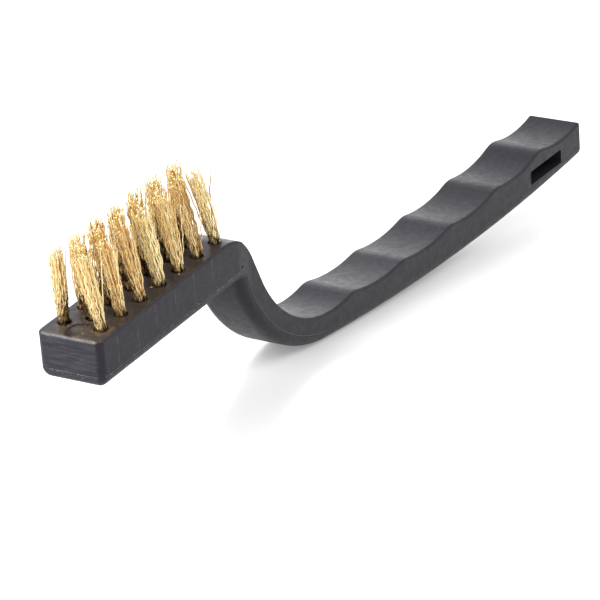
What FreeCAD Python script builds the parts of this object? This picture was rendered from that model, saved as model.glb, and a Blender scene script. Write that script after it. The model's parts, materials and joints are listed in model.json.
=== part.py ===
"""Scratch brush: a moulded plastic handle with three rows of folded brass tufts, each held by an anchor."""
import FreeCAD, Part
import math
import os

import Sketcher

# Driving dimensions, in millimetres and degrees. The design frame has its origin in the middle of the
# top edge of the head's front face: X runs back towards the end of the grip, Y to the left, Z up.
DIMENSIONS = {
    # Head block, which carries the tufts.
    "head_width": 12.7,
    "head_thickness": 8.8,
    "front_corner_radius": 1.4,
    "knee_start": 40.25,
    "knee_radius": 11.0,
    # Neck, which drops from the head to the grip: the centres and radii of its two bends.
    "inner_bend_along": 78.7,
    "inner_bend_up": -0.3,
    "inner_bend_radius": 28.45,
    "outer_bend_along": 78.82,
    "outer_bend_up": 0.92,
    "outer_bend_radius": 35.05,
    "crook_radius": 0.8,
    "neck_width": 10.84,
    "shoulder_start": 44.0,
    "shoulder_length": 5.6,
    # Grip: a smooth belly below and finger crests above, each row lying on one large arc.
    "overall_length": 178.3,
    "grip_end_width": 11.52,
    "belly_low_along": 158.9,
    "belly_low_up": -40.12,
    "crest_low_along": 137.9,
    "crest_low_up": -31.44,
    "crest_line_radius": 508.0,
    "crest_first_along": 84.0,
    "crest_pitch": 19.1,
    "crest_count": 5,
    "crest_rounding": 8.0,
    "scallop_depth": 0.84,
    "scallop_deepening": 0.14,
    "end_scallop_along": 169.9,
    "end_scallop_up": -32.85,
    "end_top_up": -32.15,
    # Hanging slot through the end of the grip.
    "slot_along": 162.5,
    "slot_up": -35.85,
    "slot_length": 13.6,
    "slot_height": 2.9,
    "slot_slope": 2.4,
    "slot_corner_radius": 0.45,
    # Rounded edges.
    "lower_edge_radius": 2.03,
    "end_edge_radius": 0.44,
    "upper_edge_radius": 0.45,
    # Mark left on the head by the mould's ejector pin.
    "ejector_mark_radius": 1.65,
    "ejector_mark_along": 3.7,
    "ejector_mark_depth": 0.12,
    # Small blow hole in the right flank, low on the shoulder.
    "pit_along": 45.45,
    "pit_up": -6.2,
    "pit_radius": 0.27,
    "pit_depth": 0.5,
    # Tuft holes: two outer rows, and a middle row set back by half a pitch.
    "tuft_first_along": 4.75,
    "tuft_pitch": 6.07,
    "tuft_row_offset": 3.65,
    "outer_row_count": 7,
    "middle_row_count": 6,
    "hole_radius": 1.2,
    "hole_depth": 5.5,
    # Anchor: a flat piece of wire driven across the fold of a tuft.
    "anchor_thickness": 0.35,
    "anchor_width": 3.0,
    "anchor_height": 1.8,
    "anchor_gap": 0.3,
    # Tuft: wires folded in half round the anchor, fanned about the axis of the hole.
    "tuft_height": 13.8,
    "tuft_wire_diameter": 0.25,
    "tuft_fold_radius": 0.85,
    "tuft_wire_count": 5,
    "tuft_fan": 112.0,
    "tuft_splay": 1.2,
    "tuft_lean": 4.0,
    "tuft_bend_radius": 5.0,
    # Pose in which the brush rests on a level surface: nose down about its lowest line.
    "rest_tilt": 8.12,
}

doc = FreeCAD.newDocument("wire_brush")
sheet = doc.addObject("Spreadsheet::Sheet", "dimensions")
for row, (alias, value) in enumerate(DIMENSIONS.items(), start=1):
    sheet.set(f"A{row}", alias)
    sheet.set(f"B{row}", str(value))
    sheet.setAlias(f"B{row}", alias)
doc.recompute()


def dim(alias):
    """Return one driving dimension from the sheet."""
    return float(sheet.get(alias))


def origin_feature(body, role):
    """Return the body's own origin plane or axis that has this role."""
    return next(item for item in body.Origin.OriginFeatures if item.Role == role)


def new_body(name):
    """Make an empty body labelled with its node's name."""
    body = doc.addObject("PartDesign::Body", name)
    body.Label = name
    return body


def new_sketch(body, name, role, height=None):
    """Attach a sketch to one of the body's origin planes, raised by an expression if one is given."""
    sketch = body.newObject("Sketcher::SketchObject", name)
    sketch.AttachmentSupport = [(origin_feature(body, role), "")]
    sketch.MapMode = "FlatFace"
    if height is not None:
        sketch.setExpression("AttachmentOffset.Base.z", height)
    return sketch


def point(along, up):
    """Return a point of a sketch plane."""
    return FreeCAD.Vector(along, up, 0)


def on_circle(centre, radius, degrees):
    """Return the point of a circle at this angle."""
    angle = math.radians(degrees)
    return centre + point(radius * math.cos(angle), radius * math.sin(angle))


def line(start, end):
    return Part.LineSegment(start, end)


def arc(start, middle, end):
    return Part.Arc(start, middle, end)


def fix_point(sketch, geometry, position, along, up):
    """Hold one point of a sketch at distances from its origin that are given as expressions."""
    for direction, expression in (("DistanceX", along), ("DistanceY", up)):
        value = sketch.evalExpression(expression)
        index = sketch.addConstraint(Sketcher.Constraint(direction, -1, 1, geometry, position, value))
        sketch.setExpression(f"Constraints[{index}]", expression)


def add_circle(sketch, along, up, radius):
    """Add a circle whose centre and radius are given as expressions."""
    centre = point(sketch.evalExpression(along), sketch.evalExpression(up))
    size = sketch.evalExpression(radius)
    index = sketch.addGeometry(Part.Circle(centre, FreeCAD.Vector(0, 0, 1), size))
    fix_point(sketch, index, 3, along, up)
    constraint = sketch.addConstraint(Sketcher.Constraint("Radius", index, size))
    sketch.setExpression(f"Constraints[{constraint}]", radius)


def add_rectangle(sketch, left, right, bottom, top):
    """Add a rectangle whose sides are given as expressions."""
    x0, x1, y0, y1 = (sketch.evalExpression(text) for text in (left, right, bottom, top))
    corners = [point(x0, y0), point(x1, y0), point(x1, y1), point(x0, y1)]
    first = sketch.GeometryCount
    sketch.addGeometry([line(corners[i], corners[(i + 1) % 4]) for i in range(4)])
    for i in range(4):
        sketch.addConstraint(Sketcher.Constraint("Coincident", first + i, 2, first + (i + 1) % 4, 1))
    for i, kind in enumerate(("Horizontal", "Vertical", "Horizontal", "Vertical")):
        sketch.addConstraint(Sketcher.Constraint(kind, first + i))
    fix_point(sketch, first, 1, left, bottom)
    fix_point(sketch, first + 2, 1, right, top)


def pocket(body, name, sketch, depth=None, reverse=False):
    """Cut a sketch out of the body: to a depth given as an expression, or right through both ways."""
    feature = body.newObject("PartDesign::Pocket", name)
    feature.Profile = sketch
    if depth is None:
        feature.Type = "ThroughAll"
        feature.Midplane = True
    else:
        feature.setExpression("Length", depth)
    feature.Reversed = reverse
    before = body.Shape.Volume
    body.Tip = feature
    doc.recompute()
    if body.Shape.Volume > before - 1e-3:
        raise RuntimeError(f"{name} cut nothing")
    return feature


def row_pattern(body, name, features, count, pitch):
    """Repeat features along X, with their count and pitch given as expressions."""
    pattern = body.newObject("PartDesign::LinearPattern", name)
    pattern.Originals = features
    pattern.Direction = (origin_feature(body, "X_Axis"), [""])
    pattern.setExpression("Occurrences", count)
    pattern.setExpression("Length", f"({count} - 1) * {pitch}")
    body.Tip = pattern
    doc.recompute()
    return pattern


def fillet(body, name, chosen, radius):
    """Round the edges of the body's present shape that pass a test."""
    tip = body.Tip
    names = [f"Edge{i + 1}" for i, edge in enumerate(tip.Shape.Edges) if chosen(edge)]
    feature = body.newObject("PartDesign::Fillet", name)
    feature.Base = (tip, names)
    feature.setExpression("Radius", radius)
    body.Tip = feature
    doc.recompute()
    return feature


def middle_of(edge):
    return edge.valueAt((edge.FirstParameter + edge.LastParameter) / 2)


def is_crosswise(edge):
    """Tell whether an edge is straight and runs across the handle."""
    if len(edge.Vertexes) < 2:
        return False
    first, last = (vertex.Point for vertex in edge.Vertexes[:2])
    return abs(abs(last.y - first.y) - edge.Length) < 1e-4


def passes(edge, place):
    """Tell whether a crosswise edge passes a point of the side outline."""
    middle = middle_of(edge)
    return is_crosswise(edge) and math.hypot(middle.x - place.x, middle.z - place.y) < 0.01


# Side outline of the handle, worked out from the sheet. Heights are the sketch's second coordinate.
HEAD_BOTTOM = -dim("head_thickness")
knee_centre = point(dim("knee_start"), -dim("knee_radius"))
inner_centre = point(dim("inner_bend_along"), dim("inner_bend_up"))
outer_centre = point(dim("outer_bend_along"), dim("outer_bend_up"))


def sagging(low_along, low_up, radius, along):
    """Return the point of an arc with this lowest point and radius at a place along it."""
    return point(along, low_up + radius - math.sqrt(radius ** 2 - (along - low_along) ** 2))


def on_crest_line(along, below=0.0):
    """Return a point on the arc that joins the finger crests, or below it."""
    up = sagging(dim("crest_low_along"), dim("crest_low_up"), dim("crest_line_radius"), along).y
    return point(along, up - below)


def belly():
    """Return the radius of the belly's arc, which runs on smoothly from the outer bend."""
    across = dim("belly_low_along") - outer_centre.x
    rise = dim("belly_low_up") - outer_centre.y
    bend = dim("outer_bend_radius")
    return (bend ** 2 - across ** 2 - rise ** 2) / (2 * (rise + bend))


def on_belly(along):
    return sagging(dim("belly_low_along"), dim("belly_low_up"), belly(), along)


def top_outline():
    """Return the top of the handle, from the front of the head to the end of the grip."""
    between = inner_centre - knee_centre
    radii = dim("knee_radius") + dim("inner_bend_radius")
    turn = math.degrees(math.atan2(between.y, between.x) + math.acos(radii / between.Length))
    start = point(dim("knee_start"), 0)
    leave = on_circle(knee_centre, dim("knee_radius"), turn)
    meet = on_circle(inner_centre, dim("inner_bend_radius"), turn - 180)
    crest_places = [dim("crest_first_along") + dim("crest_pitch") * i for i in range(int(dim("crest_count")))]
    first_angle = -math.degrees(math.acos((crest_places[0] - inner_centre.x) / dim("inner_bend_radius")))
    crests = [on_circle(inner_centre, dim("inner_bend_radius"), first_angle)]
    crests += [on_crest_line(along) for along in crest_places[1:]]
    pieces = [
        line(point(0, 0), start),
        arc(start, on_circle(knee_centre, dim("knee_radius"), (90 + turn) / 2), leave),
        line(leave, meet),
        arc(meet, on_circle(inner_centre, dim("inner_bend_radius"), (turn - 180 + first_angle) / 2), crests[0]),
    ]
    for i, (crest, following) in enumerate(zip(crests, crests[1:])):
        depth = dim("scallop_depth") + dim("scallop_deepening") * i
        pieces.append(arc(crest, on_crest_line((crest.x + following.x) / 2, depth), following))
    end_top = point(dim("overall_length"), dim("end_top_up"))
    pieces.append(arc(crests[-1], point(dim("end_scallop_along"), dim("end_scallop_up")), end_top))
    return pieces, crests


def lower_outline():
    """Return the underside, from the end of the grip to the bottom of the head, with the crook's point."""
    end_bottom = on_belly(dim("overall_length"))
    away = outer_centre - point(dim("belly_low_along"), dim("belly_low_up") + belly())
    touch = outer_centre + away * (dim("outer_bend_radius") / away.Length)
    drop = math.degrees(math.asin((outer_centre.y - HEAD_BOTTOM) / dim("outer_bend_radius")))
    crook = on_circle(outer_centre, dim("outer_bend_radius"), 180 + drop)
    touch_angle = math.degrees(math.atan2(away.y, away.x)) % 360
    pieces = [
        arc(end_bottom, on_belly((end_bottom.x + touch.x) / 2), touch),
        arc(touch, on_circle(outer_centre, dim("outer_bend_radius"), (180 + drop + touch_angle) / 2), crook),
        line(crook, point(0, HEAD_BOTTOM)),
    ]
    return pieces, crook


def plan_outline():
    """Return the outline seen from above: a square head, and shoulders that run into a narrower neck."""
    half = dim("head_width") / 2
    neck = dim("neck_width") / 2
    end = dim("grip_end_width") / 2
    front = -1
    back = dim("overall_length") + 1
    shoulder = dim("shoulder_start")
    far = shoulder + dim("shoulder_length")
    step = half - neck
    run = far - shoulder
    radius = (step ** 2 + run ** 2) / (4 * step)
    bow = radius - math.sqrt(radius ** 2 - (run / 4) ** 2)
    pieces = []
    for side in (-1, 1):
        middle = point((shoulder + far) / 2, side * (half + neck) / 2)
        pieces += [
            line(point(front, side * half), point(shoulder, side * half)),
            arc(point(shoulder, side * half), point(shoulder + run / 4, side * (half - bow)), middle),
            arc(middle, point(far - run / 4, side * (neck + bow)), point(far, side * neck)),
            line(point(far, side * neck), point(back, side * end)),
        ]
    pieces.append(line(point(front, -half), point(front, half)))
    pieces.append(line(point(back, -end), point(back, end)))
    return pieces


def make_handle():
    """The handle: the head block, neck and grip in one moulding, with the holes that hold the tufts."""
    body = new_body("handle")
    profile = new_sketch(body, "side_outline", "XZ_Plane")
    top, crests = top_outline()
    lower, crook = lower_outline()
    end = line(top[-1].EndPoint, lower[0].StartPoint)
    front = line(point(0, HEAD_BOTTOM), point(0, 0))
    profile.addGeometry(top + [end] + lower + [front], False)
    pad = body.newObject("PartDesign::Pad", "block")
    pad.Profile = profile
    pad.Midplane = True
    pad.setExpression("Length", "dimensions.head_width")
    body.Tip = pad
    doc.recompute()
    fillet(body, "crest_edges", lambda edge: any(passes(edge, crest) for crest in crests),
           "dimensions.crest_rounding")
    fillet(body, "crook_edge", lambda edge: passes(edge, crook), "dimensions.crook_radius")
    plan = new_sketch(body, "plan_outline", "XY_Plane")
    plan.addGeometry(plan_outline(), False)
    add_rectangle(plan, "-dimensions.head_width", "dimensions.overall_length + dimensions.head_width",
                  "-dimensions.head_width", "dimensions.head_width")
    pocket(body, "flanks", plan)
    round_handle(body)
    add_slot(body)
    add_ejector_mark(body)
    add_pit(body)
    add_tuft_holes(body)
    return body


def round_handle(body):
    """Round the handle's edges: each fillet runs on from the edges named here round the smooth outline."""
    half = dim("head_width") / 2
    length = dim("overall_length")

    def is_head_bottom(edge):
        middle = middle_of(edge)
        return abs(middle.z - HEAD_BOTTOM) < 1e-3 and middle.x < dim("knee_start")

    def is_front_corner(edge):
        middle = middle_of(edge)
        reach = dim("lower_edge_radius")
        return middle.x < reach / 2 and abs(middle.y) > half - reach / 2 and not is_crosswise(edge) \
            and abs(edge.Vertexes[0].Z - edge.Vertexes[1].Z) > reach / 2

    def is_end_face(edge):
        return all(abs(vertex.X - length) < 1e-3 for vertex in edge.Vertexes)

    fillet(body, "lower_edges", is_head_bottom, "dimensions.lower_edge_radius")
    fillet(body, "front_corners", is_front_corner, "dimensions.front_corner_radius")
    fillet(body, "upper_edges", lambda edge: passes(edge, point(0, 0)), "dimensions.upper_edge_radius")
    fillet(body, "end_edges", is_end_face, "dimensions.end_edge_radius")


def add_slot(body):
    """Cut the hanging slot through the end of the grip: a slightly sloping oblong with rounded corners."""
    sketch = new_sketch(body, "slot_outline", "XZ_Plane")
    centre = point(dim("slot_along"), dim("slot_up"))
    slope = -math.radians(dim("slot_slope"))
    along = point(math.cos(slope), math.sin(slope))
    across = point(-math.sin(slope), math.cos(slope))
    corner = dim("slot_corner_radius")

    def place(x_sign, y_sign, x_in, y_in):
        x = x_sign * (dim("slot_length") / 2 - x_in)
        y = y_sign * (dim("slot_height") / 2 - y_in)
        return centre + along * x + across * y

    signs = [(-1, -1), (1, -1), (1, 1), (-1, 1)]
    bulge = corner * (1 - math.cos(math.pi / 4))
    pieces = []
    for i, (x_sign, y_sign) in enumerate(signs):
        flat_first = i % 2 == 1
        enter = place(x_sign, y_sign, corner, 0) if flat_first else place(x_sign, y_sign, 0, corner)
        leave = place(x_sign, y_sign, 0, corner) if flat_first else place(x_sign, y_sign, corner, 0)
        pieces.append(arc(enter, place(x_sign, y_sign, bulge, bulge), leave))
    joins = [line(pieces[i].EndPoint, pieces[(i + 1) % 4].StartPoint) for i in range(4)]
    sketch.addGeometry(pieces + joins, False)
    pocket(body, "hanging_slot", sketch)


def add_ejector_mark(body):
    """Sink the ejector pin's round mark into the head, in front of the tufts."""
    sketch = new_sketch(body, "ejector_outline", "XY_Plane")
    add_circle(sketch, "dimensions.ejector_mark_along", "0", "dimensions.ejector_mark_radius")
    pocket(body, "ejector_mark", sketch, "dimensions.ejector_mark_depth")


def add_pit(body):
    """Sink the small blow hole into the right flank."""
    sketch = new_sketch(body, "pit_outline", "XZ_Plane", "dimensions.head_width / 2")
    add_circle(sketch, "dimensions.pit_along", "dimensions.pit_up", "dimensions.pit_radius")
    pocket(body, "pit", sketch, "dimensions.pit_depth")


def add_tuft_holes(body):
    """Sink each row's blind holes, with the slits that their anchors press into the walls."""
    for row, (across, first, count) in ROWS.items():
        mouth = new_sketch(body, f"{row}_hole_outline", "XY_Plane")
        add_circle(mouth, first, across, "dimensions.hole_radius")
        hole = pocket(body, f"{row}_hole", mouth, "dimensions.hole_depth")
        slit_outline = new_sketch(body, f"{row}_slit_outline", "XY_Plane", ANCHOR_BOTTOM)
        half_thick = "dimensions.anchor_thickness / 2"
        half_wide = "dimensions.anchor_width / 2"
        add_rectangle(slit_outline, f"{first} - {half_thick}", f"{first} + {half_thick}",
                      f"{across} - {half_wide}", f"{across} + {half_wide}")
        slit = pocket(body, f"{row}_slit", slit_outline, "dimensions.anchor_height", reverse=True)
        row_pattern(body, f"{row}_holes", [hole, slit], count, "dimensions.tuft_pitch")


def seat(name):
    """Return the expressions for a tuft's place along and across the head, given its row and number."""
    row, number = name
    across, first, count = ROWS[row]
    return f"{first} + {number - 1} * dimensions.tuft_pitch", across, count


def make_anchor(row, number):
    """An anchor: a short piece of flat wire that pins the fold of one tuft to the bottom of its hole."""
    along, across, _ = seat((row, number))
    plate = doc.addObject("Part::Box", f"anchor_{row}_{number}")
    plate.Label = f"anchor_{row}_{number}"
    plate.setExpression("Length", "dimensions.anchor_thickness")
    plate.setExpression("Width", "dimensions.anchor_width")
    plate.setExpression("Height", "dimensions.anchor_height")
    corner = FreeCAD.Vector(
        sheet.evalExpression(f"{along} - dimensions.anchor_thickness / 2"),
        sheet.evalExpression(f"{across} - dimensions.anchor_width / 2"),
        sheet.evalExpression(ANCHOR_BOTTOM),
    )
    plate.Placement = FreeCAD.Placement(corner, FreeCAD.Rotation())
    return plate


def make_tuft(row, number):
    """A tuft: wires folded in half under the anchor, standing in the hole and leaning to the front."""
    along, across, count = seat((row, number))
    total = int(sheet.evalExpression(count))
    lean = dim("tuft_lean") * (number - 1) / (total - 1)
    body = new_body(f"tuft_{row}_{number}")
    radius = dim("tuft_fold_radius")
    bottom = -dim("hole_depth") + dim("tuft_wire_diameter") / 2
    bend = dim("tuft_bend_radius")
    legs = []
    for side, angle in ((1, dim("tuft_splay") - lean), (-1, dim("tuft_splay") + lean)):
        outward = 1 if angle > 0 else -1
        swing = math.radians(abs(angle))
        fold_end = point(side * radius, bottom + radius)
        knee = point(side * radius, 0)
        middle = knee + point(side * outward * bend * (1 - math.cos(swing / 2)), bend * math.sin(swing / 2))
        leave = knee + point(side * outward * bend * (1 - math.cos(swing)), bend * math.sin(swing))
        rise = dim("tuft_height") - leave.y
        tip = leave + point(side * outward * rise * math.tan(swing), rise)
        path = new_sketch(body, "front_path" if side < 0 else "rear_path", "XZ_Plane")
        turn = point(side * radius * math.sin(math.pi / 4), bottom + radius * (1 - math.cos(math.pi / 4)))
        path.addGeometry([
            arc(point(0, bottom), turn, fold_end),
            line(fold_end, knee),
            arc(knee, middle, leave),
            line(leave, tip),
        ], False)
        section = new_sketch(body, "front_section" if side < 0 else "rear_section", "YZ_Plane")
        add_circle(section, "0", "dimensions.tuft_wire_diameter / 2 - dimensions.hole_depth",
                   "dimensions.tuft_wire_diameter / 2")
        doc.recompute()
        leg = body.newObject("PartDesign::AdditivePipe", "front_leg" if side < 0 else "rear_leg")
        leg.Profile = section
        leg.Spine = (path, [f"Edge{i + 1}" for i in range(path.GeometryCount)])
        leg.Transition = "Right corner"
        body.Tip = leg
        doc.recompute()
        legs.append(leg)
    fan = body.newObject("PartDesign::PolarPattern", "fan")
    fan.Originals = legs
    fan.Axis = (origin_feature(body, "Z_Axis"), [""])
    fan.setExpression("Occurrences", "dimensions.tuft_wire_count")
    fan.setExpression("Angle", "dimensions.tuft_fan")
    body.Tip = fan
    place = FreeCAD.Vector(sheet.evalExpression(along), sheet.evalExpression(across), 0)
    turn_back = FreeCAD.Rotation(FreeCAD.Vector(0, 0, 1), -dim("tuft_fan") / 2)
    body.Placement = FreeCAD.Placement(place, turn_back)
    doc.recompute()
    return body


# Rows of tufts: the expressions for each row's place across the head, first place along it and count.
ROWS = {
    "left": ("dimensions.tuft_row_offset", "dimensions.tuft_first_along", "dimensions.outer_row_count"),
    "middle": ("0", "dimensions.tuft_first_along + dimensions.tuft_pitch / 2", "dimensions.middle_row_count"),
    "right": ("-dimensions.tuft_row_offset", "dimensions.tuft_first_along", "dimensions.outer_row_count"),
}
ANCHOR_BOTTOM = "-dimensions.hole_depth + dimensions.tuft_wire_diameter + dimensions.anchor_gap"

pieces = [make_handle()]
for row, (_, _, count) in ROWS.items():
    for number in range(1, int(sheet.evalExpression(count)) + 1):
        pieces.append(make_tuft(row, number))
        pieces.append(make_anchor(row, number))
doc.recompute()

# Tilt the whole brush into its resting pose, then put the origin at the bottom centre of its box.
tilt = FreeCAD.Rotation(FreeCAD.Vector(0, 1, 0), -dim("rest_tilt"))
for piece in pieces:
    piece.Placement = FreeCAD.Placement(FreeCAD.Vector(), tilt) * piece.Placement
doc.recompute()
box = FreeCAD.BoundBox()
for piece in pieces:
    box.add(piece.Shape.optimalBoundingBox(False, False))
to_origin = FreeCAD.Placement(FreeCAD.Vector(-box.Center.x, -box.Center.y, -box.ZMin), FreeCAD.Rotation())
for piece in pieces:
    piece.Placement = to_origin * piece.Placement
doc.recompute()

for item in doc.Objects:
    if "Invalid" in item.State or "Error" in item.State:
        raise RuntimeError(f"{item.Label} failed: {item.State}")
for piece in pieces:
    if piece.Shape.isNull() or not piece.Shape.isValid() or piece.Shape.Volume <= 0:
        raise RuntimeError(f"{piece.Label} has no valid shape")

os.makedirs("parts", exist_ok=True)
for piece in pieces:
    piece.Shape.exportStep(f"parts/{piece.Label}.step")
print(len(pieces), "nodes; box", box)
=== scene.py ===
"""A small wire scratch brush: black moulded handle, three rows of crimped brass tufts, on a white floor."""
import json
import math
import random

import bpy
import numpy as np
from mathutils import Matrix, Vector
from mathutils.bvhtree import BVHTree


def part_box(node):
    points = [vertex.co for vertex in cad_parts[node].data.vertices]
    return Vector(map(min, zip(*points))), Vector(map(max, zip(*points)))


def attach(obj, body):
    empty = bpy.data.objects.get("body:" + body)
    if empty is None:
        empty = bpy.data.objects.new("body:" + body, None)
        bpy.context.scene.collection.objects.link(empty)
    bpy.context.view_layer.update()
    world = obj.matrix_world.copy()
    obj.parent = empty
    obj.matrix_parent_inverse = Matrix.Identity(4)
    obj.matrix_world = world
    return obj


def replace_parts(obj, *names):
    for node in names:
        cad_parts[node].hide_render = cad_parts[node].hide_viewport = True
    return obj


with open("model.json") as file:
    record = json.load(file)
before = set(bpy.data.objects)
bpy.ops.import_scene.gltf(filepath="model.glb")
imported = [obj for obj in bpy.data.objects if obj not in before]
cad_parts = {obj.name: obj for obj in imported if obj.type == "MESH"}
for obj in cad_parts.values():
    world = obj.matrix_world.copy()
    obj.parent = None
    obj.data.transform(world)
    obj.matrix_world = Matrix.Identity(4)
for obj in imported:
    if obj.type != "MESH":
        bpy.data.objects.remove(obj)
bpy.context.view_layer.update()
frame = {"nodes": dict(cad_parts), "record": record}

MM = 0.001

# The brush's design frame: origin in the middle of the head's top front edge, X back along the head, Y to the
# left, Z the way the tufts point. All the lengths below are millimetres in it, unless they say otherwise.
HEAD_WIDTH = 12.7
HEAD_THICKNESS = 8.8
UNDERSIDE_MOUNT_ALONG = 22.0


def design_frame():
    """Return the matrix from the design frame in millimetres to the row frame in metres."""
    mount = next(m for m in frame["record"]["mounts"] if m["name"] == "head_underside")
    up = -Vector(mount["axis"]).normalized()
    left = Vector((0, 1, 0))
    turn = Matrix((left.cross(up), left, up)).transposed()
    origin = Vector(mount["pos_m"]) - turn @ Vector((UNDERSIDE_MOUNT_ALONG, 0, -HEAD_THICKNESS)) * MM
    return Matrix.Translation(origin) @ turn.to_4x4() @ Matrix.Scale(MM, 4)


TO_ROW = design_frame()
FROM_ROW = TO_ROW.inverted()
HANDLE = frame["nodes"]["handle"]

# ---------------------------------------------------------------------------------------------------- camera

CAMERA_PLACE = (-433.0, -315.3, 259.8)
CAMERA_TARGET = (73.4, 0.0, -26.45)
LENS = 216.0
SENSOR_WIDTH = 36.0


def make_camera():
    """Make the camera: a long lens, looking down a little from the front right of the head."""
    data = bpy.data.cameras.new("camera")
    data.sensor_width = SENSOR_WIDTH
    data.lens = LENS
    data.clip_start = 0.01
    data.clip_end = 10.0
    camera = bpy.data.objects.new("camera", data)
    bpy.context.collection.objects.link(camera)
    place, target = TO_ROW @ Vector(CAMERA_PLACE), TO_ROW @ Vector(CAMERA_TARGET)
    camera.location = place
    camera.rotation_euler = (target - place).to_track_quat("-Z", "Y").to_euler()
    bpy.context.scene.camera = camera


make_camera()

# --------------------------------------------------------------------------------------------- node building


class Nodes:
    """Short calls for building one node tree: each returns the output socket of the node it adds."""

    def __init__(self, tree):
        self.tree = tree

    def add(self, kind, inputs=(), output=0, **settings):
        """Add a node, set its settings, and set or link its inputs, given by name or number."""
        node = self.tree.nodes.new("ShaderNode" + kind)
        for name, value in settings.items():
            setattr(node, name, value)
        for key, value in dict(inputs).items():
            if isinstance(value, bpy.types.NodeSocket):
                self.tree.links.new(value, node.inputs[key])
            else:
                node.inputs[key].default_value = value
        return node.outputs[output]

    def math(self, operation, *values, clamp=False):
        return self.add("Math", dict(enumerate(values)), operation=operation, use_clamp=clamp)

    def plus(self, first, second):
        return self.math("ADD", first, second)

    def times(self, first, *others):
        for other in others:
            first = self.math("MULTIPLY", first, other)
        return first

    def noise(self, place, scale, detail=2.0, roughness=0.5, distortion=0.0):
        return self.add("TexNoise", {"Vector": place, "Scale": scale, "Detail": detail,
                                     "Roughness": roughness, "Distortion": distortion})

    def ramp(self, value, low, high, to_low=0.0, to_high=1.0):
        """Return a value mapped smoothly from one range to another, and held at its ends."""
        return self.add("MapRange", {"Value": value, "From Min": low, "From Max": high,
                                     "To Min": to_low, "To Max": to_high}, interpolation_type="SMOOTHSTEP")

    def mix(self, amount, first, second):
        """Return a mix of two colours."""
        node = self.tree.nodes.new("ShaderNodeMix")
        node.data_type = "RGBA"
        for socket, value in ((node.inputs[0], amount), (node.inputs[6], first), (node.inputs[7], second)):
            if isinstance(value, bpy.types.NodeSocket):
                self.tree.links.new(value, socket)
            else:
                socket.default_value = value
        return node.outputs[2]

    def cover(self, colour, mask, strength, over):
        """Return a colour with another laid over it where a mask says, up to a strength."""
        return self.mix(self.times(mask, strength), colour, over)

    def design_place(self):
        """Return the place of the shaded point in the design frame, in millimetres."""
        object_place = self.add("TexCoord", output="Object")
        return self.add("Mapping", {"Vector": object_place, "Location": FROM_ROW.to_translation(),
                                    "Rotation": FROM_ROW.to_euler(), "Scale": FROM_ROW.to_scale()})

    def stretched(self, place, factors):
        """Return a place with each of its coordinates multiplied by a factor."""
        return self.add("VectorMath", {0: place, 1: factors}, operation="MULTIPLY")

    def split(self, place):
        """Return a place's three coordinates."""
        x = self.add("SeparateXYZ", {0: place})
        return x, x.node.outputs[1], x.node.outputs[2]


def new_material(name):
    """Make a material and return it with its shader and a node builder."""
    material = bpy.data.materials.new(name)
    material.use_nodes = True
    tree = material.node_tree
    return material, tree.nodes["Principled BSDF"], Nodes(tree)


# ------------------------------------------------------------------------------------------ floor and lights

# Places and sizes in this section are metres in the row frame.
FLOOR_HALF_SIZE = 3.0
SURROUND_STRENGTH = 0.72
# Patches of the surround: direction, angles in degrees of full and of no effect, and change of strength.
SURROUND_PATCHES = (
    ((0.66, 0.74, 0.14), 10, 32, 2.9),
    ((-0.55, 0.80, 0.20), 20, 60, 0.5),
    ((-0.765, -0.476, 0.433), 12, 45, -0.45),
    ((0.66, -0.45, 0.60), 8, 30, 1.1),
)


def make_floor():
    """Make the plain white floor, faintly glossy, with a slight glow that keeps its shadows pale."""
    half = FLOOR_HALF_SIZE
    corners = [(-half, -half, 0), (half, -half, 0), (half, half, 0), (-half, half, 0)]
    mesh = bpy.data.meshes.new("floor")
    mesh.from_pydata(corners, [], [(0, 1, 2, 3)])
    floor = bpy.data.objects.new("floor", mesh)
    bpy.context.collection.objects.link(floor)
    material, shader, _ = new_material("floor_white")
    shader.inputs["Base Color"].default_value = (0.56, 0.56, 0.563, 1)
    shader.inputs["Emission Color"].default_value = (1.0, 0.995, 0.985, 1)
    shader.inputs["Emission Strength"].default_value = 0.24
    shader.inputs["Roughness"].default_value = 0.25
    shader.inputs["Specular IOR Level"].default_value = 0.5
    mesh.materials.append(material)


def add_area_light(name, place, target, size, power):
    """Add a square soft light that faces a point."""
    data = bpy.data.lights.new(name, "AREA")
    data.shape = "SQUARE"
    data.size = size
    data.energy = power
    light = bpy.data.objects.new(name, data)
    bpy.context.collection.objects.link(light)
    light.location = place
    light.rotation_euler = (Vector(target) - Vector(place)).to_track_quat("-Z", "Y").to_euler()


def make_surround():
    """Make the surround: a bright backdrop, glows to the left and at the back right, a dark camera side."""
    world = bpy.data.worlds.new("surround")
    world.use_nodes = True
    nodes = Nodes(world.node_tree)
    background = world.node_tree.nodes["Background"]
    direction = nodes.add("TexCoord", output="Generated")
    strength = SURROUND_STRENGTH
    for towards, inner, outer, change in SURROUND_PATCHES:
        facing = nodes.add("VectorMath", {0: direction, 1: Vector(towards).normalized()},
                           output="Value", operation="DOT_PRODUCT")
        edge, core = math.cos(math.radians(outer)), math.cos(math.radians(inner))
        strength = nodes.plus(strength, nodes.ramp(facing, edge, core, 0.0, change))
    world.node_tree.links.new(strength, background.inputs["Strength"])
    background.inputs["Color"].default_value = (1, 1, 1, 1)
    bpy.context.scene.world = world


def make_lights():
    """Light the brush from a key soft box high on the left and a weaker one on the right."""
    middle = (0, 0, 0.01)
    add_area_light("left_box", place=(-0.80, 0.40, 0.62), target=middle, size=0.85, power=18.0)
    add_area_light("right_box", place=(-0.15, -0.60, 0.90), target=middle, size=0.8, power=6.0)


make_floor()
make_surround()
make_lights()
bpy.context.scene.view_settings.view_transform = "Standard"

# --------------------------------------------------------------------------------------------------- plastic

TUFT_FIRST_ALONG = 4.75
TUFT_PITCH = 6.07
ROW_OFFSET = 3.65
WITNESS_FIRST_ALONG = 5.2
PARTING_HEIGHT = 2.2

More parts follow.
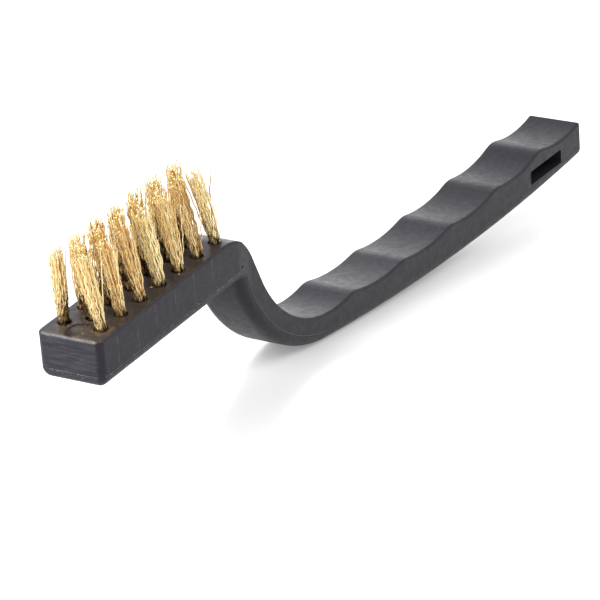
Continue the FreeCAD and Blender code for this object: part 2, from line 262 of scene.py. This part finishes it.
# Colours of the marks on the plastic, and of the painted highlight, sheen and shade on it.
EDGE_HIGHLIGHT = (0.19, 0.19, 0.205, 1)
RUBBED_SHEEN = (0.055, 0.055, 0.060, 1)
WITNESS = (0.12, 0.12, 0.13, 1)
OIL = (0.045, 0.024, 0.010, 1)
BRASS_DUST = (0.34, 0.22, 0.085, 1)
HOLE_SHADE = (0.006, 0.004, 0.003, 1)
SCRATCHED = (0.10, 0.10, 0.11, 1)
SCUFFED = (0.21, 0.21, 0.22, 1)
LINT = (0.28, 0.28, 0.29, 1)


def periodic_distance(nodes, value, first, pitch):
    """Return how far a value is from the nearest of a series that starts at first."""
    shifted = nodes.plus(value, pitch / 2 - first)
    wrapped = nodes.math("FLOORED_MODULO", shifted, pitch)
    return nodes.math("SUBTRACT", wrapped, pitch / 2)


def hole_distance(nodes, x, y):
    """Return the distance from the nearest tuft hole's axis, over the whole head."""
    outer_along = periodic_distance(nodes, x, TUFT_FIRST_ALONG, TUFT_PITCH)
    outer_across = nodes.math("SUBTRACT", nodes.math("ABSOLUTE", y), ROW_OFFSET)
    inner_along = periodic_distance(nodes, x, TUFT_FIRST_ALONG + TUFT_PITCH / 2, TUFT_PITCH)
    lengths = []
    for along, across in ((outer_along, outer_across), (inner_along, y)):
        square = nodes.plus(nodes.times(along, along), nodes.times(across, across))
        lengths.append(nodes.math("SQRT", square))
    return nodes.math("MINIMUM", *lengths)


def band(nodes, value, middle, half_width, softness):
    """Return 1 inside a band of values and 0 outside it, with soft sides."""
    away = nodes.math("ABSOLUTE", nodes.math("SUBTRACT", value, middle))
    return nodes.ramp(away, half_width, half_width + softness, 1.0, 0.0)


def witness_marks(nodes, place, x, z, on_flank):
    """Return the marks on the flanks, one where each anchor of the outer rows is pressed towards the wall."""
    away = nodes.math("ABSOLUTE", periodic_distance(nodes, x, WITNESS_FIRST_ALONG, TUFT_PITCH))
    line = nodes.ramp(away, 0.05, 0.28, 1.0, 0.0)
    deep = band(nodes, z, -3.2, 2.2, 1.4)
    beside_rows = band(nodes, x, 20.5, 17.5, 0.8)
    broken = nodes.ramp(nodes.noise(nodes.stretched(place, (1.0, 1.0, 0.5)), 0.9, 3.0), 0.4, 0.62)
    return nodes.times(line, on_flank, deep, beside_rows, broken)


def stain_marks(nodes, place, y, hole_away, on_top):
    """Return the brown stain on the top of the head, thickest round the tufts and thin on the left."""
    smear = nodes.ramp(nodes.noise(place, 0.7, 6.0, 0.72, 0.8), 0.40, 0.62)
    near_hole = nodes.ramp(hole_away, 1.0, 2.6, 1.0, 0.0)
    stain = nodes.math("MULTIPLY", smear, nodes.plus(near_hole, 0.35), clamp=True)
    return nodes.times(stain, on_top, nodes.ramp(y, 2.6, 5.8, 1.0, 0.25))


def plastic_material(name, dark, light):
    """Black moulded plastic: mottled, finely grained, scuffed, and stained brown round the tufts, with a
    painted highlight on the top front edge, painted sheen on the front face and painted shade round the
    holes.
    """
    material, shader, nodes = new_material(name)
    place = nodes.design_place()
    x, y, z = nodes.split(place)
    on_front = nodes.ramp(x, 0.03, 0.12, 1.0, 0.0)
    on_flank = nodes.ramp(nodes.math("ABSOLUTE", y), HEAD_WIDTH / 2 - 0.12, HEAD_WIDTH / 2 - 0.04)
    on_top = nodes.times(nodes.ramp(z, -0.35, -0.02), nodes.ramp(x, 37.0, 43.0, 1.0, 0.0))

    cloudy = nodes.noise(place, 0.11, 3.0, 0.55)
    mottle = nodes.noise(place, 1.4, 5.0, 0.7)
    fine = nodes.noise(place, 3.2, 2.0, 0.5)
    shade = nodes.plus(nodes.times(cloudy, 0.35), nodes.ramp(mottle, 0.3, 0.75, 0.0, 0.4))
    shade = nodes.plus(shade, nodes.ramp(fine, 0.35, 0.7, 0.0, 0.35))
    colour = nodes.mix(shade, dark, light)

    # A painted highlight along the top front edge of the head, and rubbed streaks across the front face,
    # lightened as painted sheen.
    edge_away = nodes.plus(nodes.math("ABSOLUTE", x), nodes.math("ABSOLUTE", z))
    edge_highlight = nodes.ramp(nodes.plus(edge_away, nodes.times(mottle, 0.5)), 0.40, 0.80, 1.0, 0.0)
    colour = nodes.cover(colour, edge_highlight, 0.8, EDGE_HIGHLIGHT)
    # The streaks are partly rub marks and partly painted sheen that lightens the front face.
    streaks = nodes.noise(nodes.stretched(place, (0.3, 0.16, 1.3)), 1.2, 5.0, 0.7, 0.4)
    rubs_and_sheen = nodes.times(nodes.ramp(streaks, 0.36, 0.72), on_front)
    colour = nodes.cover(colour, rubs_and_sheen, 0.6, RUBBED_SHEEN)
    witness = witness_marks(nodes, place, x, z, on_flank)
    colour = nodes.cover(colour, witness, 0.3, WITNESS)

    # Brass dust in cutting oil on the top of the head, and painted shade: a black ring round the mouth of
    # each hole, under its tuft.
    hole_away = hole_distance(nodes, x, y)
    stain = stain_marks(nodes, place, y, hole_away, on_top)
    dust = nodes.ramp(nodes.noise(place, 2.6, 4.0, 0.75), 0.42, 0.66)
    dust = nodes.times(dust, nodes.ramp(x, 3.0, 14.0, 1.0, 0.35))
    colour = nodes.cover(colour, stain, 0.8, nodes.mix(dust, OIL, BRASS_DUST))
    hole_shade = nodes.times(nodes.ramp(hole_away, 1.15, 1.75, 1.0, 0.0), on_top)
    colour = nodes.cover(colour, hole_shade, 0.8, HOLE_SHADE)

    # Fine scratches, chalky scuffs along the parting line, and a few specks of lint.
    scratch_noise = nodes.noise(nodes.stretched(place, (0.16, 2.4, 2.4)), 1.6, 4.0, 0.7, 0.3)
    scratches = nodes.ramp(scratch_noise, 0.66, 0.74)
    colour = nodes.cover(colour, scratches, 0.35, SCRATCHED)
    chalk = nodes.ramp(nodes.noise(place, 1.7, 5.0, 0.75), 0.56, 0.70)
    low_edge = band(nodes, z, -7.4, 0.7, 1.0)
    scuffs = nodes.times(chalk, low_edge, nodes.math("MAXIMUM", on_flank, on_front))
    colour = nodes.cover(colour, scuffs, 0.85, SCUFFED)
    speck_distance = nodes.add("TexVoronoi", {"Vector": place, "Scale": 0.5}, output="Distance")
    colour = nodes.cover(colour, nodes.ramp(speck_distance, 0.02, 0.04, 1.0, 0.0), 0.7, LINT)
    nodes.tree.links.new(colour, shader.inputs["Base Color"])

    polish = nodes.ramp(nodes.noise(place, 0.8, 5.0, 0.7), 0.3, 0.7, 0.37, 0.50)
    rough = nodes.plus(nodes.plus(polish, nodes.times(scratches, -0.08)), nodes.times(stain, 0.12))
    nodes.tree.links.new(rough, shader.inputs["Roughness"])
    shader.inputs["Specular IOR Level"].default_value = 0.24
    shader.inputs["Specular Tint"].default_value = (0.94, 0.91, 1.0, 1)

    grain = nodes.times(nodes.noise(place, 4.0, 3.0, 0.6), 0.012)
    ripple = nodes.times(nodes.noise(place, 0.5, 2.0, 0.5), 0.05)
    marks = nodes.plus(nodes.times(scratches, -0.006), nodes.times(witness, 0.01))
    relief = nodes.plus(nodes.plus(grain, ripple), marks)
    bump = nodes.add("Bump", {"Height": relief, "Distance": MM, "Strength": 0.8})
    nodes.tree.links.new(bump, shader.inputs["Normal"])
    return material


# ----------------------------------------------------------------------------------------------------- brass

AGED_BRASS = (0.18, 0.085, 0.025, 1)
TARNISH_AND_SHADE = (0.12, 0.055, 0.018, 1)


def brass_material(name, pale, deep, roughness):
    """Drawn brass wire: each wire has its own tone, some are dark with age, and low parts are darkened:
    tarnish, with painted shade on the middle row.
    """
    material, shader, nodes = new_material(name)
    place = nodes.design_place()
    _, y, z = nodes.split(place)
    tone = nodes.add("Attribute", attribute_name="tone", output="Fac")
    patchy = nodes.noise(place, 1.1, 3.0, 0.6)
    amount = nodes.math("ADD", nodes.times(tone, 0.8), nodes.times(patchy, 0.5), clamp=True)
    colour = nodes.mix(nodes.ramp(amount, 0.25, 0.85), deep, pale)
    colour = nodes.cover(colour, nodes.ramp(tone, 0.14, 0.24, 1.0, 0.0), 0.65, AGED_BRASS)

    # The darkening starts in the holes as tarnish, and climbs in blotches on the middle row, where it is
    # painted shade between the outer rows as well as tarnish.
    shade_share = nodes.plus(band(nodes, y, 0.9, 1.3, 3.2), 0.04)
    climb = nodes.ramp(nodes.noise(place, 0.75, 3.0, 0.7), 0.38, 0.62, 0.0, 7.5)
    height = nodes.math("SUBTRACT", z, nodes.times(shade_share, climb))
    colour = nodes.cover(colour, nodes.ramp(height, -1.5, -0.1, 1.0, 0.0), 0.85, TARNISH_AND_SHADE)
    nodes.tree.links.new(colour, shader.inputs["Base Color"])

    shader.inputs["Metallic"].default_value = 0.95
    rough = nodes.ramp(patchy, 0.3, 0.7, roughness - 0.06, roughness + 0.08)
    nodes.tree.links.new(rough, shader.inputs["Roughness"])
    drawn = nodes.times(nodes.noise(nodes.stretched(place, (1.0, 1.0, 0.15)), 9.0, 2.0), 0.01)
    bump = nodes.add("Bump", {"Height": drawn, "Distance": MM, "Strength": 0.5})
    nodes.tree.links.new(bump, shader.inputs["Normal"])
    return material


# ----------------------------------------------------------------------------------------------------- tufts

WIRE_RADIUS = 0.11
WIRE_SIDES = 5
LOCKS_PER_SIDE = 4
WIRES_PER_LOCK = 5
WIRES_PER_TUFT = LOCKS_PER_SIDE * WIRES_PER_LOCK
STEP_ABOVE = 0.33
STEP_BELOW = 0.9

# The seat of a tuft: its anchor, the mouth of its hole, and the fold under the anchor.
ANCHOR_HALF_THICKNESS = 0.175
ANCHOR_HALF_HEIGHT = 0.9
ANCHOR_CLEARANCE = 0.03
MOUTH_RADIUS = 0.95
MOUTH_GAP = 0.34
MOUTH_TRIES = 14
MOUTH_MARGIN = 0.2
FOLD_CLEARANCE = 0.17
FOLD_WIDTH = 0.6
FOLD_POINTS = 5

# How a tuft is trimmed: a little longer towards the back of the head, and unevenly, with a share cut short.
TUFT_HEIGHT = 13.7
TRIM_RISE = 0.021
TRIM_UNEVENNESS = (-1.2, 0.55)
SHORT_SHARE = 0.08
LONGEST_CUT = 2.5
WEAR_HEIGHT = 10.5
TIP_WEAR = 0.5

# How the wires of a tuft gather in locks and spread above its mouth.
CLUMPING = 0.45
CLUMP_HEIGHT = 5.0
SPREAD_RADIUS = 1.24
SPREAD_HEIGHT = 6.0
TIP_FLARE = 0.08
FLARE_HEIGHT = 10.8
FLARE_LENGTH = 3.0

# How far each lock, and each wire of it, goes its own way: spreads of normal draws, and ranges of even ones.
LOCK_DRIFT = 0.16
LOCK_BOW = 0.10
LOCK_TONES = (0.05, 0.95)
LOCK_TONE_SHARE = 0.35
WIRE_SWAY = 0.24
WIRE_BOW = 0.12
WIRE_FOLLOW = (0.88, 1.1)
STRAY_SHARE = 0.09
STRAY_SWAY = 0.75
STRAY_FOLLOW = (0.1, 0.7)

# The crimp: its wave, how much that differs between locks and between wires, and where it starts in the hole.
CRIMP_WAVELENGTH = 2.6
CRIMP_HEIGHT = 0.125
LOCK_CRIMP_STRETCH = (0.85, 1.2)
WIRE_CRIMP_STRETCH = (0.96, 1.04)
CRIMP_HEIGHT_RANGE = (0.6, 1.5)
CRIMP_PLANE_SPREAD = 0.5
CRIMP_PHASE_SPREAD = 0.9
CRIMP_START = -1.5
CRIMP_FADE = 2.5

# How far the tips of each row's tufts lean to the front and to the left, and those of the last on the right.
ROW_LEAN = {"left": (0.7, -0.25), "middle": (0.9, 0.9), "right": (1.1, 1.8)}
OWN_LEAN = {("right", "7"): (2.5, 1.5)}
LEAN_JITTER = 0.25
LEAN_POWER = 1.25


def smooth(value):
    """Return 0 to 1 for 0 to 1, with level ends."""
    value = np.clip(value, 0.0, 1.0)
    return value * value * (3.0 - 2.0 * value)


def make_lock(rng):
    """Return what the wires of one lock share: the drift of its tip, its bow, its crimp and its tone."""
    return {
        "drift": (rng.gauss(0, LOCK_DRIFT), rng.gauss(0, LOCK_DRIFT)),
        "bow": (rng.gauss(0, LOCK_BOW), rng.gauss(0, LOCK_BOW)),
        "plane": rng.uniform(0, math.pi),
        "phase": rng.uniform(0, 2 * math.pi),
        "wavelength": CRIMP_WAVELENGTH * rng.uniform(*LOCK_CRIMP_STRETCH),
        "tone": rng.uniform(*LOCK_TONES),
    }


def leg_path(rng, lock, root, middle, side, lean, bottom, top):
    """Return the centre line of one leg of a wire from its fold to its tip, relative to the hole's mouth.

    The leg passes the mouth near its root, drawn in towards the middle of its lock.
    """
    chance = rng.random()
    is_stray = chance < STRAY_SHARE
    sway = STRAY_SWAY if is_stray else WIRE_SWAY
    follow = rng.uniform(*(STRAY_FOLLOW if is_stray else WIRE_FOLLOW))
    cut_short = rng.uniform(0, LONGEST_CUT) if chance > 1.0 - SHORT_SHARE else 0.0
    tip_height = top + rng.uniform(*TRIM_UNEVENNESS) - cut_short
    below = np.arange(bottom, -MOUTH_MARGIN, STEP_BELOW)
    z = np.concatenate([below, np.arange(0.0, tip_height, STEP_ABOVE)])

    # Beside the anchor up to the mouth, then spreading from the lock.
    opening = 1.0 + (SPREAD_RADIUS / MOUTH_RADIUS - 1.0) * smooth(z / SPREAD_HEIGHT)
    opening = opening + TIP_FLARE * smooth((z - FLARE_HEIGHT) / FLARE_LENGTH)
    settle = smooth((z - bottom) / -bottom)
    gather = CLUMPING * (1.0 - smooth(z / CLUMP_HEIGHT))
    root_x = root[0] + (middle[0] - root[0]) * gather
    root_y = root[1] + (middle[1] - root[1]) * gather
    beside_anchor = side * (ANCHOR_HALF_THICKNESS + WIRE_RADIUS + ANCHOR_CLEARANCE)
    x = beside_anchor + (root_x * opening - beside_anchor) * settle
    y = root_y * (FOLD_WIDTH + (1.0 - FOLD_WIDTH) * settle) * opening

    # The tuft's lean, and the drift and bow of the lock and of the wire.
    rise = np.maximum(z / TUFT_HEIGHT, 0.0)
    reach = np.power(rise, LEAN_POWER) * follow
    arch = np.sin(math.pi * np.minimum(rise, 1.0))
    drift_x = lock["drift"][0] + rng.gauss(0, sway)
    bow_x = lock["bow"][0] + rng.gauss(0, WIRE_BOW)
    drift_y = lock["drift"][1] + rng.gauss(0, sway)
    bow_y = lock["bow"][1] + rng.gauss(0, WIRE_BOW)
    x = x - lean[0] * reach + drift_x * rise + bow_x * arch
    y = y + lean[1] * reach + drift_y * rise + bow_y * arch

    plane = lock["plane"] + rng.gauss(0, CRIMP_PLANE_SPREAD)
    phase = lock["phase"] + rng.gauss(0, CRIMP_PHASE_SPREAD)
    height = CRIMP_HEIGHT * rng.uniform(*CRIMP_HEIGHT_RANGE) * smooth((z - CRIMP_START) / CRIMP_FADE)
    wavelength = lock["wavelength"] * rng.uniform(*WIRE_CRIMP_STRETCH)
    wave = height * np.sin(2 * math.pi * z / wavelength + phase)
    return np.stack([x + wave * math.cos(plane), y + wave * math.sin(plane), z], axis=1)


def fold_path(first, second):
    """Return the points of the half turn between the lowest points of two legs."""
    middle = (first + second) / 2
    half = (second - first) / 2
    radius = np.linalg.norm(half)
    steps = np.linspace(0.0, math.pi, FOLD_POINTS + 2)[1:-1]
    drop = np.outer(np.sin(steps), (0.0, 0.0, -radius))
    return middle - np.outer(np.cos(steps), half) + drop


def tube(path, radius, sides, outward, closed=False):
    """Return the points and faces of a tube, given its path, its radius and the way out at each point."""
    if closed:
        tangent = np.roll(path, -1, axis=0) - np.roll(path, 1, axis=0)
    else:
        tangent = np.gradient(path, axis=0)
    tangent /= np.linalg.norm(tangent, axis=1, keepdims=True)
    across = np.cross(outward, tangent)
    across /= np.linalg.norm(across, axis=1, keepdims=True)
    outward = np.cross(tangent, across)
    angles = np.arange(sides) * 2 * math.pi / sides
    ring = (np.cos(angles)[None, :, None] * outward[:, None, :]
            + np.sin(angles)[None, :, None] * across[:, None, :]) * np.reshape(radius, (-1, 1, 1))
    points = (path[:, None, :] + ring).reshape(-1, 3)
    rings = len(path) if closed else len(path) - 1
    here = np.arange(rings)[:, None] * sides
    after = (np.arange(rings)[:, None] + 1) % len(path) * sides
    side = np.arange(sides)[None, :]
    beside = (side + 1) % sides
    corners = (here + side, after + side, after + beside, here + beside)
    faces = np.stack(corners, axis=2).reshape(-1, 4).tolist()
    if not closed:
        last = (len(path) - 1) * sides
        faces.append(list(range(sides)))
        faces.append(list(range(last, last + sides))[::-1])
    return points, faces


def half_disc_points(rng, count, side):
    """Return places spread evenly over the half of a hole's mouth on one side of the anchor."""
    places = []
    for _ in range(count):
        best, best_gap = None, -1.0
        for _ in range(MOUTH_TRIES):
            x = side * rng.uniform(MOUTH_GAP, MOUTH_RADIUS)
            y = rng.uniform(-MOUTH_RADIUS, MOUTH_RADIUS)
            if x * x + y * y > MOUTH_RADIUS ** 2:
                continue
            gap = min((math.hypot(x - a, y - b) for a, b in places), default=1.0)
            if gap > best_gap:
                best, best_gap = (x, y), gap
        places.append(best or (side * MOUTH_GAP, 0.0))
    return places


def make_mesh_object(name, points, faces, material, tones=None):
    """Make a smooth mesh piece from points in the design frame, riding on the brush."""
    matrix = np.array(TO_ROW)
    placed = points @ matrix[:3, :3].T + matrix[:3, 3]
    mesh = bpy.data.meshes.new(name)
    mesh.from_pydata(placed.tolist(), [], faces)
    mesh.polygons.foreach_set("use_smooth", [True] * len(mesh.polygons))
    if tones is not None:
        mesh.attributes.new("tone", "FLOAT", "POINT").data.foreach_set("value", tones)
    mesh.materials.append(material)
    mesh.update()
    piece = bpy.data.objects.new(name, mesh)
    bpy.context.collection.objects.link(piece)
    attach(piece, "root")
    return piece


def tuft_seat(row, number):
    """Return the middle of a tuft's anchor."""
    low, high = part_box(f"anchor_{row}_{number}")
    return FROM_ROW @ ((Vector(low) + Vector(high)) / 2)


class Bundle:
    """A mesh gathered from many tubes, each with its own tone."""

    def __init__(self):
        self.points, self.faces, self.tones = [], [], []
        self.count = 0

    def add(self, points, faces, tone):
        self.points.append(points)
        self.faces.extend([corner + self.count for corner in face] for face in faces)
        self.tones.append(np.full(len(points), tone, dtype=np.float32))
        self.count += len(points)

    def make(self, name, material):
        return make_mesh_object(name, np.concatenate(self.points), self.faces, material,
                                np.concatenate(self.tones))


def add_wire(bundle, path, tone):
    """Add a wire along a path that stays near a plane across the brush's width, worn thinner at its tips."""
    outward = np.cross(np.gradient(path, axis=0), (0.0, 1.0, 0.0))
    worn = smooth((path[:, 2] - WEAR_HEIGHT) / (TUFT_HEIGHT - WEAR_HEIGHT))
    bundle.add(*tube(path, WIRE_RADIUS * (1.0 - TIP_WEAR * worn), WIRE_SIDES, outward), tone)


def make_tuft(row, number, lean, material):
    """Make one tuft: crimped wires folded under its anchor, each leg going its own way a little."""
    rng = random.Random(f"{row}{number}")
    seat = tuft_seat(row, number)
    bottom = seat.z - ANCHOR_HALF_HEIGHT + FOLD_CLEARANCE
    top = TUFT_HEIGHT + TRIM_RISE * (seat.x - TUFT_FIRST_ALONG)
    lean = [value + rng.uniform(-LEAN_JITTER, LEAN_JITTER) for value in lean]
    sides = []
    for side in (-1, 1):
        roots = sorted(half_disc_points(rng, WIRES_PER_TUFT, side), key=lambda place: place[1])
        sides.append((side, roots, [make_lock(rng) for _ in range(LOCKS_PER_SIDE)]))
    bundle = Bundle()
    for index in range(WIRES_PER_TUFT):
        lock_index = index // WIRES_PER_LOCK
        first = lock_index * WIRES_PER_LOCK
        legs = []
        for side, roots, locks in sides:
            middle = np.mean(roots[first:first + WIRES_PER_LOCK], axis=0)
            legs.append(leg_path(rng, locks[lock_index], roots[index], middle, side, lean, bottom, top))
        front, back = legs
        path = np.concatenate([front[::-1], fold_path(front[0], back[0]), back])
        lock_tone = sides[0][2][lock_index]["tone"]
        tone = LOCK_TONE_SHARE * lock_tone + (1.0 - LOCK_TONE_SHARE) * rng.random()
        add_wire(bundle, path + (seat.x, seat.y, 0.0), tone)
    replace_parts(bundle.make(f"wires_{row}_{number}", material), f"tuft_{row}_{number}")


def tuft_names():
    """Return the row and number of every tuft that the frame has."""
    return [tuple(name.split("_")[1:]) for name in sorted(frame["nodes"]) if name.startswith("tuft_")]


def make_tufts(material):
    """Make every tuft, leaning as its row does unless it has a lean of its own."""
    for row, number in tuft_names():
        make_tuft(row, number, OWN_LEAN.get((row, number), ROW_LEAN[row]), material)


# The long stray wire: where it leaves its hole, its bow to the front, and how its tip turns back and left.
STRAY_HEIGHT = 14.6
STRAY_ROOT = (0.35, -0.35)
STRAY_BOW = 0.9
STRAY_TURN = 1.2
STRAY_TURN_POWER = 6
STRAY_DRIFT = 0.3
STRAY_CRIMP = (0.06, 0.05)
STRAY_TONE = 0.1


def make_stray_wire(material):
    """Make the long wire that stands clear behind the last tuft of the right row, its tip turned back."""
    seat = tuft_seat("right", "7")
    z = np.arange(-STEP_BELOW, STRAY_HEIGHT, STEP_ABOVE)
    rise = np.maximum(z / STRAY_HEIGHT, 0.0)
    crimp = 2 * math.pi * z / CRIMP_WAVELENGTH
    x = STRAY_ROOT[0] + STRAY_TURN * rise ** STRAY_TURN_POWER - STRAY_BOW * np.sin(math.pi * rise)
    x = seat.x + x + STRAY_CRIMP[0] * np.sin(crimp)
    y = seat.y + STRAY_ROOT[1] + STRAY_DRIFT * rise + STRAY_CRIMP[1] * np.cos(crimp)
    bundle = Bundle()
    add_wire(bundle, np.stack([x, y, z], axis=1), STRAY_TONE)
    bundle.make("stray_wire", material)


CLIPPINGS_PER_TUFT = (0, 1, 1, 2)
CLIPPING_AWAY = (1.4, 1.9)
CLIPPING_TURN = 1.2
CLIPPING_HALF_LENGTH = (0.12, 0.4)
CLIPPING_LIFT = 0.05
CLIPPING_ARCH = 0.04
CLIPPING_RADIUS = 0.7 * WIRE_RADIUS
CLIPPING_POINTS = 5
UPRIGHT = (0.0, 0.0, 1.0)


def make_clippings(material):
    """Make the few short bits of wire that lie on the head where the tufts were trimmed."""
    rng = random.Random("clippings")
    bundle = Bundle()
    steps = np.linspace(-1, 1, CLIPPING_POINTS)[:, None]
    arch = (1 - steps ** 2) * (0.0, 0.0, CLIPPING_ARCH)
    outward = np.tile(UPRIGHT, (CLIPPING_POINTS, 1))
    for row, number in tuft_names():
        seat = tuft_seat(row, number)
        for _ in range(rng.choice(CLIPPINGS_PER_TUFT)):
            around = rng.uniform(0, 2 * math.pi)
            away = rng.uniform(*CLIPPING_AWAY)
            turn = rng.uniform(-CLIPPING_TURN, CLIPPING_TURN)
            half = rng.uniform(*CLIPPING_HALF_LENGTH)
            middle = (seat.x + away * math.cos(around), seat.y + away * math.sin(around), CLIPPING_LIFT)
            path = middle + steps * (half * math.cos(turn), half * math.sin(turn), 0.0) + arch
            points, faces = tube(path, CLIPPING_RADIUS, WIRE_SIDES, outward)
            bundle.add(points, faces, rng.random())
    bundle.make("brass_clippings", material)


RIM_RADIUS = 1.26
RIM_WAVINESS = 0.03
RIM_HEIGHT = 0.06
RIM_UNEVENNESS = 0.45
RIM_STEPS = 28
BEAD_SIDES = 6


def make_hole_rims(material):
    """Make the low burr of plastic that driving each tuft raised round the mouth of its hole."""
    rng = random.Random("rims")
    bundle = Bundle()
    angles = np.arange(RIM_STEPS) * 2 * math.pi / RIM_STEPS
    outward = np.tile(UPRIGHT, (RIM_STEPS, 1))
    for row, number in tuft_names():
        seat = tuft_seat(row, number)
        radius = RIM_RADIUS + RIM_WAVINESS * np.sin(3 * angles + rng.uniform(0, 2 * math.pi))
        x = seat.x + radius * np.cos(angles)
        y = seat.y + radius * np.sin(angles)
        swell = RIM_HEIGHT * (1.0 + RIM_UNEVENNESS * np.sin(2 * angles + rng.uniform(0, 2 * math.pi)))
        path = np.stack([x, y, np.zeros(RIM_STEPS)], axis=1)
        points, faces = tube(path, swell, BEAD_SIDES, outward, closed=True)
        bundle.add(points, faces, 0.0)
    bundle.make("hole_rims", material)


# ---------------------------------------------------------------------------------------------- parting line

# The bead of flash: its radius and how that varies, and how it fades along the grip.
FLASH_RADIUS = 0.06
FLASH_SIZES = (0.5, 0.8, 1.0, 1.2, 1.7)
FLASH_JITTER = (0.8, 1.2)
FLASH_FADE = 0.55
FLASH_FADE_ALONG = 70.0
FLASH_FADE_LENGTH = 15.0
FLASH_STEP = 0.5
# The search for its line, by rays from below the brush and out from its middle, fanned at both ends.
SEARCH_STEP = 0.1
BELOW_BRUSH = -80.0
FAN_STEPS = 24
FRONT_FAN_ALONG = 3.0
END_FAN_ALONG = 174.0


def first_hit(tree, start, direction):
    """Return where a ray first meets the handle, and the surface's normal there."""
    place, normal, _, _ = tree.ray_cast(Vector(start), Vector(direction))
    return np.array(place), np.array(normal)


def parting_path(tree):
    """Return the closed line where the mould's halves met, and the way out at each of its points."""
    inner = []
    for along in np.arange(FRONT_FAN_ALONG, END_FAN_ALONG, SEARCH_STEP):
        place, normal = first_hit(tree, (along, 0.0, BELOW_BRUSH), UPRIGHT)
        point = place - normal * PARTING_HEIGHT
        if not inner or np.linalg.norm(point - inner[-1]) > FLASH_STEP:
            inner.append(point)
    rays = [(point, (0.0, 1.0, 0.0)) for point in inner[::-1]]
    angles = np.linspace(math.pi / 2, 3 * math.pi / 2, FAN_STEPS)[1:-1]
    rays += [(inner[0], (math.cos(angle), math.sin(angle), 0.0)) for angle in angles]
    rays += [(point, (0.0, -1.0, 0.0)) for point in inner]
    rays += [(inner[-1], (-math.cos(angle), -math.sin(angle), 0.0)) for angle in angles]
    hits = [first_hit(tree, *ray) for ray in rays]
    return np.array([place for place, _ in hits]), np.array([normal for _, normal in hits])


def make_parting_line(material):
    """Make the thin bead of flash that the mould left round the handle."""
    rng = random.Random("flash")
    mesh = HANDLE.data
    corners = [FROM_ROW @ vertex.co for vertex in mesh.vertices]
    tree = BVHTree.FromPolygons(corners, [tuple(polygon.vertices) for polygon in mesh.polygons])
    path, outward = parting_path(tree)
    sizes = np.array([rng.choice(FLASH_SIZES) * rng.uniform(*FLASH_JITTER) for _ in path])
    fade = FLASH_FADE * smooth((path[:, 0] - FLASH_FADE_ALONG) / FLASH_FADE_LENGTH)
    points, faces = tube(path, FLASH_RADIUS * sizes * (1.0 - fade), BEAD_SIDES, outward, closed=True)
    make_mesh_object("parting_line", points, faces, material)


# -------------------------------------------------------------------------------------------------- the brush

plastic = plastic_material("black_plastic", dark=(0.0070, 0.0062, 0.0088, 1),
                           light=(0.0205, 0.0186, 0.0250, 1))
# The flash is lighter than the handle: partly whitened flash, and partly a painted highlight on a bead too
# thin to catch one.
flash = plastic_material("flash_plastic_painted_highlight", dark=(0.035, 0.035, 0.038, 1), light=(0.10, 0.10, 0.107, 1))
brass = brass_material("brass_wire", pale=(1.0, 0.86, 0.50, 1), deep=(0.84, 0.50, 0.17, 1), roughness=0.26)
anchor_brass = brass_material("anchor_brass", pale=(0.80, 0.62, 0.32, 1), deep=(0.55, 0.38, 0.15, 1),
                              roughness=0.36)
HANDLE.material_slots[0].material = plastic
for node_name, node in frame["nodes"].items():
    if node_name.startswith("anchor_"):
        node.material_slots[0].material = anchor_brass
make_tufts(brass)
make_stray_wire(brass)
make_clippings(brass)
make_hole_rims(plastic)
make_parting_line(flash)
